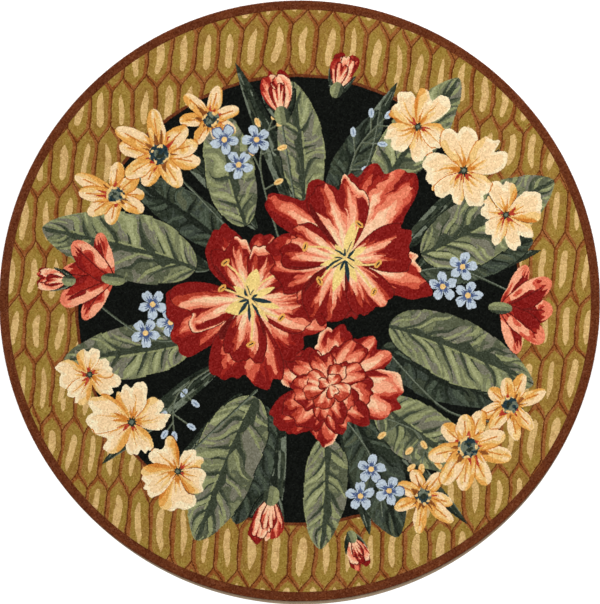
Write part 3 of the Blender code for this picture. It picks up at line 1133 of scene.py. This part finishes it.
# %% Lay the bouquet
for row in BLADES:
    blade(*row)
for row in DARK_LEAVES:
    leaf(*row, greens=DARK_GREENS)
for row in LIGHT_LEAVES:
    leaf(*row)
for path in STEMS:
    stem(path)
for motif, rows in (
    (spray, SPRAYS), (tulip, TULIPS), (rose, ROSES), (daisy, DAISIES), (rosebud, ROSEBUDS),
    (blue_flower, BLUE_FLOWERS),
):
    for row in rows:
        motif(*row)
for flower, row in LARGE_FLOWERS:
    flower(*row)
for part, name in ((LEAF, "leaf"), (RED_BLOSSOM, "red blossom"), (PALE_BLOSSOM, "pale blossom")):
    print(f"{name}: {chart.share(part)} of the field")

# %% [markdown]
# The loops themselves. A real loop is a short arch of yarn, and its neighbours press it into a
# small cushion. Hair strands or arches copied over the rug could make it, but there are almost two
# hundred thousand loops. So each cell of the grid becomes only four triangles that rise to a point
# in its middle. Smooth shading rounds them, and the lines between cells stay sharp, so that every
# loop shows.

# %% Four triangles for each loop
GLINT = 10.0  # how much paler or darker the loops of one yarn are, on the scale of the yarns
GLINT_FADE = 0.12  # it fades with this power of a yarn's lightness
CORNERS = np.array([(0.0, 0.0), (1.0, 0.0), (1.0, 1.0), (0.0, 1.0)])


def put_in_scene(name, data):
    """An object that shows this data, linked into the scene at its origin."""
    made = bpy.data.objects.new(name, data)
    bpy.context.scene.collection.objects.link(made)
    return made


def fan_of_four(corners, middle):
    """Corner k, corner k + 1 and the middle, for each of the four sides of every cell."""
    sides = [np.stack([corners[:, k], corners[:, (k + 1) % 4], middle], 1) for k in range(4)]
    return np.stack(sides, 1)


def crease_between(mesh, corner_count):
    """Mark as sharp each edge whose two ends are both corners of cells."""
    ends = np.empty(2 * len(mesh.edges), np.int32)
    mesh.edges.foreach_get("vertices", ends)
    sharp = (ends.reshape(-1, 2) < corner_count).all(1)
    mesh.attributes.new("sharp_edge", "BOOLEAN", "EDGE").data.foreach_set("value", sharp)


def dye(mesh, yarns):
    """Give each side its yarn's colour, with a little grey added or taken away loop by loop."""
    glint = GLINT * (DYES[yarns].max(2, keepdims=True) / 255) ** GLINT_FADE
    colours = DYES[yarns] + glint * chance.normal(0, 1, (len(yarns), 1, 1))
    paint = np.ones((12 * len(yarns), 4), np.float32)
    paint[:, :3] = np.repeat(linear(colours).reshape(-1, 3), 3, axis=0)
    wools = mesh.color_attributes.new("yarn", "FLOAT_COLOR", "CORNER")
    wools.data.foreach_set("color", paint.ravel())


def map_plies(mesh, count):
    """Map every cell on the unit square, turned by a random number of quarters."""
    turn = chance.integers(0, 4, count)
    corners = CORNERS[(turn[:, None] + np.arange(4)) % 4]
    plies = fan_of_four(corners, np.full((count, 2), 0.5)).astype(np.float32)
    mesh.uv_layers.new(name="ply").data.foreach_set("uv", plies.ravel())


# %% A mesh of loops
def loop_mesh(name, points, cells, middles, yarns):
    """One object of many loops, four triangles each.

    Its points are the cells' corners, then the raised middles.
    """
    used, cells = np.unique(cells, return_inverse=True)
    cells = cells.reshape(-1, 4)
    vertices = np.concatenate([points[used], middles]).astype(np.float32)
    triangles = fan_of_four(cells, len(used) + np.arange(len(cells))).reshape(-1, 3)
    mesh = bpy.data.meshes.new(name)
    mesh.vertices.add(len(vertices))
    mesh.vertices.foreach_set("co", vertices.ravel())
    mesh.loops.add(triangles.size)
    mesh.loops.foreach_set("vertex_index", triangles.astype(np.int32).ravel())
    mesh.polygons.add(len(triangles))
    mesh.polygons.foreach_set("loop_start", np.arange(0, triangles.size, 3, dtype=np.int32))
    mesh.update(calc_edges=True)
    mesh.shade_smooth()
    crease_between(mesh, len(used))
    dye(mesh, yarns)
    map_plies(mesh, len(cells))
    print(f"{name}: {len(cells)} loops, {len(triangles)} triangles")
    return put_in_scene(name, mesh)


# %% [markdown]
# Each part of the picture becomes a piece of its own, so that it can be dyed or changed alone. One
# piece for the whole field would also be heavier than a mesh should be. A second map lays each
# piece out flat as seen from above.

# %% The pieces of the field
PIECES = {
    "border_ground_pile": GROUND,
    "border_lattice_pile": LATTICE,
    "border_flame_pile": FLAME,
    "medallion_ground_pile": MEDALLION,
    "foliage_pile": LEAF,
    "red_blossom_pile": RED_BLOSSOM,
    "pale_blossom_pile": PALE_BLOSSOM,
}
MAP_MARGIN = 1.004


def plan_map(mesh):
    """Each corner's place in plan, less the middle, over the larger side, plus a half."""
    corner = np.empty(len(mesh.loops), np.int32)
    mesh.loops.foreach_get("vertex_index", corner)
    places = np.empty(3 * len(mesh.vertices), np.float32)
    mesh.vertices.foreach_get("co", places)
    plan = places.reshape(-1, 3)[corner, :2]
    low, high = plan.min(0), plan.max(0)
    plan = (plan - (low + high) / 2) / ((high - low).max() * MAP_MARGIN) + 0.5
    mesh.uv_layers.new(name="OFBake").data.foreach_set("uv", plan.astype(np.float32).ravel())


# the second highest part among its four sides decides, so that one stray side can't claim a loop
loop_part = np.sort(chart.part.reshape(-1, 4), axis=1)[:, 2]
side_yarns = chart.yarn.reshape(-1, 4)
pile_pieces = []
for name, part in PIECES.items():
    chosen = loop_part == part
    piece = loop_mesh(name, points, cells[chosen], middles[chosen], side_yarns[chosen])
    plan_map(piece.data)
    pile_pieces.append(piece)

# %% [markdown]
# The rows round the edge are worked last, in rings, and the outer ones lean over until they meet
# the canvas. One loop copied round a circle could do it, but then they would all be alike. So the
# rings are laid along a section that runs out level, turns down round the shoulder, and ends at
# the canvas. A loop's middle is raised square to that section.

# %% The rim rows
RIM_SHOULDER = 0.0050
RIM_FOOT = 0.0027  # the height at which the last row ends, just over the canvas
ROW_LOOPS = 1536
ROW_SHAKE = 0.16  # as a share of the pitch
RIM_LIGHT_OVER, RIM_DARK_UNDER = 0.75, 0.1  # where the sum of drifts changes the dye
RIM_BEND = RIM_SHOULDER - LOOP_RISE  # the shoulder's radius under the loops
RIM_LEVEL = PILE_RADIUS - FIELD_RADIUS - RIM_SHOULDER
RIM_SECTION = RIM_LEVEL + RIM_BEND * math.pi / 2 + PILE_TOP - RIM_SHOULDER - RIM_FOOT
RIM_ROWS = round(RIM_SECTION / LOOP_PITCH)


def on_rim(out, angle, lift):
    """A place this far out along the section and round the rug, lifted square to the section.

    It is level, then a quarter circle of radius RIM_BEND, then straight down.
    """
    turn = np.clip((out - RIM_LEVEL) / RIM_BEND, 0, math.pi / 2)
    down = np.clip(out - RIM_LEVEL - RIM_BEND * math.pi / 2, 0, None)
    radius = FIELD_RADIUS + np.minimum(out, RIM_LEVEL) + (RIM_BEND + lift) * np.sin(turn)
    height = PILE_TOP - RIM_SHOULDER + (RIM_BEND + lift) * np.cos(turn) - down
    return np.stack([radius * np.cos(angle), radius * np.sin(angle), height], -1).reshape(-1, 3)


def rim_loops():
    """Shaken corner points, raised middles, and how far out and round each middle is."""
    row_places = np.linspace(0, RIM_SECTION, RIM_ROWS + 1)
    round_places = FULL_TURN * np.arange(ROW_LOOPS) / ROW_LOOPS
    out, angle = np.meshgrid(row_places, round_places, indexing="ij")
    shake = ROW_SHAKE * LOOP_PITCH * chance.uniform(-1, 1, (2, *out.shape))
    shake[0][[0, -1]] = 0
    lift = -LOOP_UNEVEN * chance.uniform(0, 1, out.shape)
    lift[0] = -SEAM_DROP - LOOP_UNEVEN / 2
    corners = on_rim(out + shake[0], angle + shake[1] / PILE_RADIUS, lift)
    out, angle = (out[:-1] + out[1:]) / 2, angle[:-1] + math.pi / ROW_LOOPS
    lift = LOOP_RISE - LOOP_UNEVEN * chance.uniform(0, 1, out.shape)
    return corners, on_rim(out, angle, lift), out.ravel(), angle.ravel()


def rim_yarns(along, out):
    """Browns that change along the rows and by the loop: a sum of drifts, cut at two heights.

    The first drift is drawn out along the rows, the second is even, and the third is by the loop.
    """
    drift = 0.55 * clouds(along * 0.25, out * 1.6, 9) + 0.3 * clouds(along, out, 30)
    drift = drift + 0.4 * chance.uniform(-1, 1, len(along))
    names = np.where(drift > RIM_LIGHT_OVER, YARN["rimlight"], YARN["rim"])
    return np.where(drift > RIM_DARK_UNDER, names, YARN["rimdark"])


rim_corners, rim_middles, rim_out, rim_angle = rim_loops()
rim_cells = grid_cells(RIM_ROWS + 1, ROW_LOOPS, closed=True)
rim_wools = np.repeat(rim_yarns(rim_angle * PILE_RADIUS * MM, rim_out * MM)[:, None], 4, axis=1)
rim = loop_mesh("rim_loop_rows", rim_corners, rim_cells, rim_middles, rim_wools)
print(f"rim: {RIM_ROWS} rows of {ROW_LOOPS} loops")

# %% [markdown]
# The rim needs a flat map too. A ring seen from above would waste the middle of it, and crowd the
# rows that turn down. So the ring is cut into strips of equal length that lie under each other.

# %% A map for the rim
STRIPS = 16
STRIP_FILL = 0.92  # the share of a strip's height that its rows fill


def strip_map(mesh):
    """Along a strip goes u, 0 to 1. Out over its rows goes v, within the strip's own share."""
    row, place = np.divmod(np.arange(RIM_ROWS * ROW_LOOPS), ROW_LOOPS)
    per_strip = ROW_LOOPS // STRIPS
    strip, place = np.divmod(place, per_strip)
    height = strip + (1 - STRIP_FILL) / 2 + STRIP_FILL * row / RIM_ROWS
    low = np.stack([place / per_strip, height / STRIPS], 1)
    step = np.array([1 / per_strip, STRIP_FILL / RIM_ROWS / STRIPS])
    corners = low[:, None] + step * CORNERS[[0, 3, 2, 1]]
    laid = (fan_of_four(corners, low + step / 2) - 0.5) / MAP_MARGIN + 0.5
    mesh.uv_layers.new(name="OFBake").data.foreach_set("uv", laid.astype(np.float32).ravel())


strip_map(rim.data)
print(f"rim map: {STRIPS} strips")

# %% [markdown]
# The canvas shows only as a pale strip along one side, where its turned hem stands out past the
# wool. It is one cloth: out to the fold, round it, and back underneath to the hem's raw edge. It
# could be a flat sheet folded by simulation, but it lies pressed flat, so its section is simply
# carried round the rug. In plan it is a circle with a bulge on one side.

# %% The canvas
HEM_TUCK = 0.0020
HEM_SHOW = 0.0085
HEM_SHOW_ANGLE = math.radians(-82.0)
HEM_SHOW_NARROWING = 6  # the higher, the shorter the strip that shows
HEM_WAVE, HEM_WAVE_LENGTH = 0.0006, 0.11
HEM_DEPTH = 0.0400
HEM_STEP_WIDTH = 0.0012  # of the groove along the hem's raw edge
HEM_STEP_DEPTH = 0.0006
CANVAS_STEPS = 900
FOLD_STEPS = 13
TOP_INSETS = (0.30, 0.06, 0.02, 0.006)  # where the top's rings lie, in from the edge
INNERMOST = TOP_INSETS[0]
UNDER_FOLD = 0.012


def canvas_radius(angle):
    """The pile's radius less the tuck, plus a hump: ((1 + cos a) / 2) raised to a power."""
    hump = ((1 + np.cos(angle - HEM_SHOW_ANGLE)) / 2) ** HEM_SHOW_NARROWING
    wave = HEM_WAVE * clouds(angle * PILE_RADIUS, 0.3, HEM_WAVE_LENGTH)
    return PILE_RADIUS - HEM_TUCK + (HEM_TUCK + HEM_SHOW + wave) * hump


def canvas_section():
    """The cloth's section from the middle of its top to the middle of its underside."""
    half = CANVAS_TOP / 2
    turns = np.linspace(math.pi / 2, -math.pi / 2, FOLD_STEPS)
    top = [(inset, CANVAS_TOP) for inset in TOP_INSETS]
    fold = [(half - half * math.cos(turn), half + half * math.sin(turn)) for turn in turns]
    raw_edge = [(UNDER_FOLD, 0.0), (HEM_DEPTH, 0.0), (HEM_DEPTH, HEM_STEP_DEPTH)]
    inner = HEM_DEPTH + HEM_STEP_WIDTH
    return top + fold + raw_edge + [(inner, HEM_STEP_DEPTH), (inner, 0.0), (INNERMOST, 0.0)]


def turned_cloth(name, radius_at, section, steps):
    """A closed skin.

    Each (inset, height) of the section is a ring, and the end rings are filled.
    """
    angle = FULL_TURN * np.arange(steps) / steps
    inset, height = np.array(section).T[:, :, None]
    radius = radius_at(angle) - inset
    rings = np.stack([radius * np.cos(angle), radius * np.sin(angle), height + 0 * radius], -1)
    sides = grid_cells(len(section), steps, closed=True)
    first, last = np.arange(steps), np.arange(steps)[::-1] + (len(section) - 1) * steps
    mesh = bpy.data.meshes.new(name)
    faces = [first.tolist(), *sides.tolist(), last.tolist()]
    mesh.from_pydata(rings.reshape(-1, 3).tolist(), [], faces)
    mesh.shade_smooth()
    return put_in_scene(name, mesh)


canvas = turned_cloth("canvas_cloth", canvas_radius, canvas_section(), CANVAS_STEPS)
print(f"canvas: {len(canvas.data.polygons)} faces")

# %% [markdown]
# Finishes. A finish is made of nodes wired to each other, and in the shader editor that is done by
# hand. Here it is written as plain sums, which are easier to read and to change. So a wire knows
# how to be added, subtracted and multiplied, and a finish knows how to add any other node.

# %% A wire
class Wire:
    """A node's output that can be reckoned with. Each sum on it adds a Math node."""

    def __init__(self, finish, socket):
        self.finish = finish
        self.socket = socket

    def maths(self, operation, first, second=0.0):
        """What a Math node makes of two values or wires."""
        return self.finish.node("Math", {"operation": operation}, {0: first, 1: second})

    def __add__(self, other):
        return self.maths("ADD", self, other)

    def __sub__(self, other):
        return self.maths("SUBTRACT", self, other)

    def __rsub__(self, other):
        return self.maths("SUBTRACT", other, self)

    def __mul__(self, other):
        return self.maths("MULTIPLY", self, other)

    __radd__ = __add__
    __rmul__ = __mul__


# %% A finish
class Finish:
    """A material while it is made. Its node method adds any node and feeds its sockets."""

    def __init__(self, name, **fixed):
        self.material = bpy.data.materials.new(name)
        self.material.use_nodes = True
        self.tree = self.material.node_tree
        self.shader = self.tree.nodes["Principled BSDF"]
        self.vary(**fixed)

    def feed(self, socket, value):
        """Wire a socket to a node, or give it a plain value."""
        if isinstance(value, Wire):
            self.tree.links.new(value.socket, socket)
        else:
            socket.default_value = value

    def node(self, kind, settings, inputs, output=0):
        """Add any node: its settings first, then the wires or values that go into it."""
        made = self.tree.nodes.new("ShaderNode" + kind)
        for name, value in settings.items():
            setattr(made, name, value)
        for name, value in inputs.items():
            self.feed(made.inputs[name], value)
        return Wire(self, made.outputs[output])

    def vary(self, **values):
        """Feed wires or plain values to the shader's own sockets."""
        for socket, value in values.items():
            self.feed(self.shader.inputs[socket.replace("_", " ")], value)

    def raise_surface(self, height, strength):
        """Let light fall as if the surface stood this high, in metres."""
        settings = {"Strength": strength, "Distance": 1.0, "Height": height}
        self.vary(Normal=self.node("Bump", {}, settings))

    def wear(self, piece):
        """Make this the only material of a piece."""
        piece.data.materials.clear()
        piece.data.materials.append(self.material)


# %% [markdown]
# Wool is rough, with a faint sheen where its fibres stand up, and every loop is a few plies of spun
# yarn. The colour of a loop is read from the mesh. The plies and fibres could be modelled, but they
# are so low that only the light shows them. So the plies are stripes across each loop on its own
# small map, a little bent, and the fibres are a fine noise. The grooves between plies are darkened
# in the colour as painted shade, and the fibres vary the colour a little at random. Both let the
# light fall as if they stood up.

# %% Wool
SHEEN, SHEEN_SPREAD = 0.03, 0.45
SHINE = 0.10
PLIES = 3.0
PLY_SLANT = 0.9
PLY_BEND = 0.5
PLY_HEIGHT = 0.00018
FUZZ_HEIGHT = 0.00016
FUZZ = {"Scale": 1900.0, "Detail": 3.0, "Roughness": 0.65}
DRIFT = {"Scale": 420.0, "Detail": 2.0}
# the ply term darkens the wool between plies as painted shade; the fuzz and drift vary the colour
# at random
PLY_PAINTED_SHADE, FUZZ_SHADE, DRIFT_SHADE = 0.10, 0.24, 0.12
WOOL_ROUGH, WOOL_ROUGHER = 0.84, 0.16  # what the fuzz adds to the least roughness
WOOL_BUMP = 0.9


def wool(name):
    """Dyed wool: shade is 1 less a tenth between plies as painted shade, plus random shares of the
    fuzz and the drift.
    """
    finish = Finish(name, Sheen_Weight=SHEEN, Sheen_Roughness=SHEEN_SPREAD,
                    Specular_IOR_Level=SHINE)
    place = finish.node("TexCoord", {}, {}, "Object")
    on_loop = finish.node("UVMap", {"uv_map": "ply"}, {})
    across = finish.node("SeparateXYZ", {}, {0: on_loop}, "X")
    along = finish.node("SeparateXYZ", {}, {0: on_loop}, "Y")
    fuzz = finish.node("TexNoise", {}, {"Vector": place, **FUZZ})
    drift = finish.node("TexNoise", {}, {"Vector": place, **DRIFT})
    twist = (across * PLIES + along * PLY_SLANT + drift * PLY_BEND) * FULL_TURN
    strand = finish.node("Math", {"operation": "COSINE"}, {0: twist}) * 0.5 + 0.5
    # the colour is dimmed between plies as painted shade, then varied at random by the fuzz and the
    # drift
    shade = 1 - PLY_PAINTED_SHADE + strand * PLY_PAINTED_SHADE
    shade = shade + (fuzz - 0.5) * FUZZ_SHADE + (drift - 0.5) * DRIFT_SHADE
    grey = finish.node("CombineColor", {}, {0: shade, 1: shade, 2: shade})
    yarn = finish.node("Attribute", {"attribute_name": "yarn"}, {}, "Color")
    multiply = {"data_type": "RGBA", "blend_type": "MULTIPLY"}
    colour = finish.node("Mix", multiply, {0: 1.0, 6: yarn, 7: grey}, 2)
    finish.vary(Base_Color=colour, Roughness=WOOL_ROUGH + fuzz * WOOL_ROUGHER)
    finish.raise_surface(strand * PLY_HEIGHT + fuzz * FUZZ_HEIGHT, WOOL_BUMP)
    return finish


for piece in [*pile_pieces, rim]:
    wool(piece.name + "_wool").wear(piece)
print(f"{len(pile_pieces) + 1} pieces of wool")

# %% [markdown]
# The canvas is undyed cotton in a plain weave: two sets of threads that pass over and under each
# other. A picture of cloth could be laid on it, but a formula stays sharp near to. Two crossed
# sines give the threads, and the low gaps between them are painted darker, as shade. Slow noise
# makes some of the cloth paler.

# %% Cotton canvas
THREAD = 0.0014
THREAD_HEIGHT = 0.0004
COTTON_FUZZ_HEIGHT = 0.0001
COTTON_SLUB = {"Scale": 60.0, "Detail": 4.0}
COTTON_FUZZ = {"Scale": 1700.0, "Detail": 2.0}
COTTON_FRAY = 0.35
# the slub's paler patches are the cotton's own; the weave's darker gaps between threads are painted
# shade
SLUB_SHADE, WEAVE_PAINTED_SHADE = 0.5, 0.3
COTTON_ROUGH, COTTON_ROUGHER = 0.82, 0.16
COTTON_BUMP = 0.8
COTTON_SHEEN, COTTON_SHINE = 0.1, 0.25
COTTON_DARK, COTTON_LIGHT = (118, 98, 78), (184, 162, 134)


def cotton():
    """Undyed cotton: the weave is |sin(x pi / thread) sin(y pi / thread)|, frayed by the fuzz, and
    painted darker where it is low, as shade.
    """
    finish = Finish("canvas_cotton", Sheen_Weight=COTTON_SHEEN, Specular_IOR_Level=COTTON_SHINE)
    place = finish.node("TexCoord", {}, {}, "Object")
    sines = []
    for axis in "XY":
        along = finish.node("SeparateXYZ", {}, {0: place}, axis)
        sines.append(finish.node("Math", {"operation": "SINE"}, {0: along * (math.pi / THREAD)}))
    slub = finish.node("TexNoise", {}, {"Vector": place, **COTTON_SLUB})
    fuzz = finish.node("TexNoise", {}, {"Vector": place, **COTTON_FUZZ})
    crossed = sines[0] * sines[1] + COTTON_FRAY * (fuzz - 0.5)
    weave = finish.node("Math", {"operation": "ABSOLUTE"}, {0: crossed})
    dark, light = ((*linear(np.array(colour)), 1.0) for colour in (COTTON_DARK, COTTON_LIGHT))
    # the low gaps of the weave pull the tint towards the dark end: painted shade between the
    # threads
    share = (1 - SLUB_SHADE) / 2 + SLUB_SHADE * slub + WEAVE_PAINTED_SHADE * (weave - 0.5)
    tint = finish.node("Mix", {"data_type": "RGBA"}, {0: share, 6: dark, 7: light}, 2)
    finish.vary(Base_Color=tint, Roughness=COTTON_ROUGH + COTTON_ROUGHER * fuzz)
    finish.raise_surface(weave * THREAD_HEIGHT + fuzz * COTTON_FUZZ_HEIGHT, COTTON_BUMP)
    return finish


cotton().wear(canvas)
print(f"canvas threads {THREAD * MM:.1f} mm apart")

# %% [markdown]
# Every piece is tied to the imported model's root body, and the imported solid that it stands for
# is hidden. The canvas was cut as a circle with the hem's depth to spare all round, and all the
# wool is worked on it.

# %% Tie the pieces to the root body, and hide the solids they stand for
SLOTS = {piece: "pile" for piece in pile_pieces} | {rim: "rim", canvas: "canvas"}
STANDS_FOR = {"pile": "wool_pile", "rim": "rim_rows", "canvas": "canvas_backing"}
for piece, slot in SLOTS.items():
    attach(piece, "root")
    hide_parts(STANDS_FOR[slot])

# %% [markdown]
# The rug lies on a plain pale floor under soft light from all sides, with a broad sun from one
# side to give each loop a shaded edge. A window over the far right corner makes that side a
# little brighter, as in the photograph. The floor glows faintly, so that it comes out as white as
# a studio's paper. The camera looks straight down.

# %% Floor
FLOOR_HALF = 6.0
FLOOR_HEIGHT = -0.0002
FLOOR_WHITE, FLOOR_GLOW, FLOOR_ROUGH = (0.93, 0.93, 0.925, 1.0), 0.35, 0.9
WHITE = (1.0, 1.0, 1.0, 1.0)
floor_mesh = bpy.data.meshes.new("floor")
floor_plan = ((CORNERS * 2 - 1) * FLOOR_HALF).tolist()
floor_corners = [(*corner, FLOOR_HEIGHT) for corner in floor_plan]
floor_mesh.from_pydata(floor_corners, [], [(0, 1, 2, 3)])
floor = put_in_scene("floor", floor_mesh)
paint = Finish("floor_paint", Base_Color=FLOOR_WHITE, Roughness=FLOOR_ROUGH,
               Emission_Strength=FLOOR_GLOW, Emission_Color=WHITE)
paint.wear(floor)
print(f"floor {2 * FLOOR_HALF:.0f} m across")

# %% Light
SKY_STRENGTH = 0.665
SUN_STRENGTH, SUN_BREADTH, SUN_TURN = 1.21, 35, (-28, -24)  # breadth and turn in degrees
WINDOW_WATTS, WINDOW_SIZE = 55.0, 2.0
WINDOW_PLACE = mathutils.Vector((2.2, 2.6, 3.0))
world = bpy.data.worlds.new("studio")
bpy.context.scene.world = world
world.use_nodes = True
sky = world.node_tree.nodes["Background"].inputs
sky["Color"].default_value = WHITE
sky["Strength"].default_value = SKY_STRENGTH

sun_light = bpy.data.lights.new("soft_sun", "SUN")
sun_light.energy = SUN_STRENGTH
sun_light.angle = math.radians(SUN_BREADTH)
sun = put_in_scene("soft_sun", sun_light)
sun.rotation_euler = (*(math.radians(turn) for turn in SUN_TURN), 0.0)

window_light = bpy.data.lights.new("window", "AREA")
window_light.energy = WINDOW_WATTS
window_light.size = WINDOW_SIZE
window = put_in_scene("window", window_light)
window.location = WINDOW_PLACE
window.rotation_euler = WINDOW_PLACE.to_track_quat("Z", "Y").to_euler()
print("a world, a broad sun and a window")

# %% Camera
CAMERA_HEIGHT = 8.0
SENSOR = 24.0
camera_data = bpy.data.cameras.new("camera")
camera_data.sensor_fit = "VERTICAL"
camera_data.sensor_height = SENSOR
camera_data.lens = SENSOR * (CAMERA_HEIGHT - PILE_TOP) / (PHOTO_HEIGHT * PIXEL)
camera_data.clip_end = 60.0
camera = put_in_scene("camera", camera_data)
right, up = from_photo(PHOTO_WIDTH / 2, PHOTO_HEIGHT / 2)
camera.location = (right / MM, up / MM, CAMERA_HEIGHT)
bpy.context.scene.camera = camera
bpy.context.scene.view_settings.view_transform = "Standard"
print(f"camera {CAMERA_HEIGHT:.0f} m up, lens {camera_data.lens:.1f} mm")
